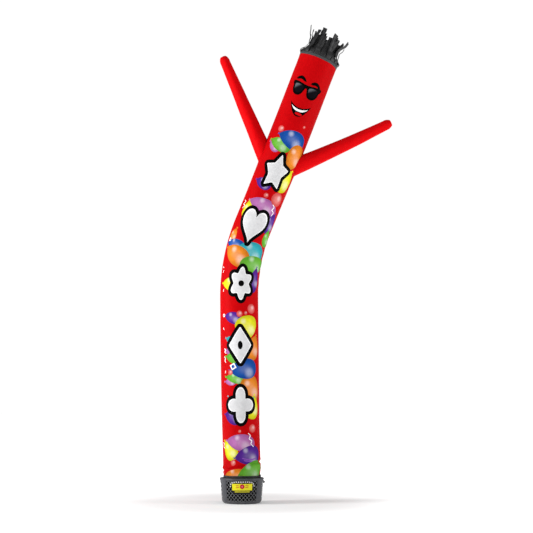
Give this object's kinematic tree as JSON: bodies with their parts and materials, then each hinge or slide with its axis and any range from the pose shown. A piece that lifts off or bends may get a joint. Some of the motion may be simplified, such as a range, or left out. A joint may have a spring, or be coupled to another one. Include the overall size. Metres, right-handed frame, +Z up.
{
  "type": "inflatable air dancer",
  "caption": "Tall leaning fabric tube figure with raised arms, a smiling printed face and a fringe of streamer hair, strapped on a round fan housing with perforated sides.",
  "frame": {"origin": "centre of the blower's flat underside, on the ground", "axes": "+Z up, +X to the right as seen from the front, the printed front faces -Y"},
  "size_m": [2.0864, 0.524, 5.7657],
  "materials": {
    "red_nylon": "satin",
    "grey_binding": "matte",
    "black_streamer": "satin",
    "black_webbing": "satin",
    "black_plastic": "gloss",
    "grey_enamel": "satin",
    "perforated_sheet": "satin",
    "yellow_label": "gloss"
  },
  "bodies": {
    "root": {"body_tube": "red_nylon", "arm_left": "red_nylon", "arm_right": "red_nylon", "rim_band": "grey_binding", "streamers": "black_streamer", "strap": "black_webbing", "strap_buckle": "black_plastic", "blower_housing": "grey_enamel", "grille_front": "perforated_sheet", "grille_right": "perforated_sheet", "grille_left": "perforated_sheet", "label_plate": "yellow_label", "power_inlet": "black_plastic"}
  },
  "joints": []
}
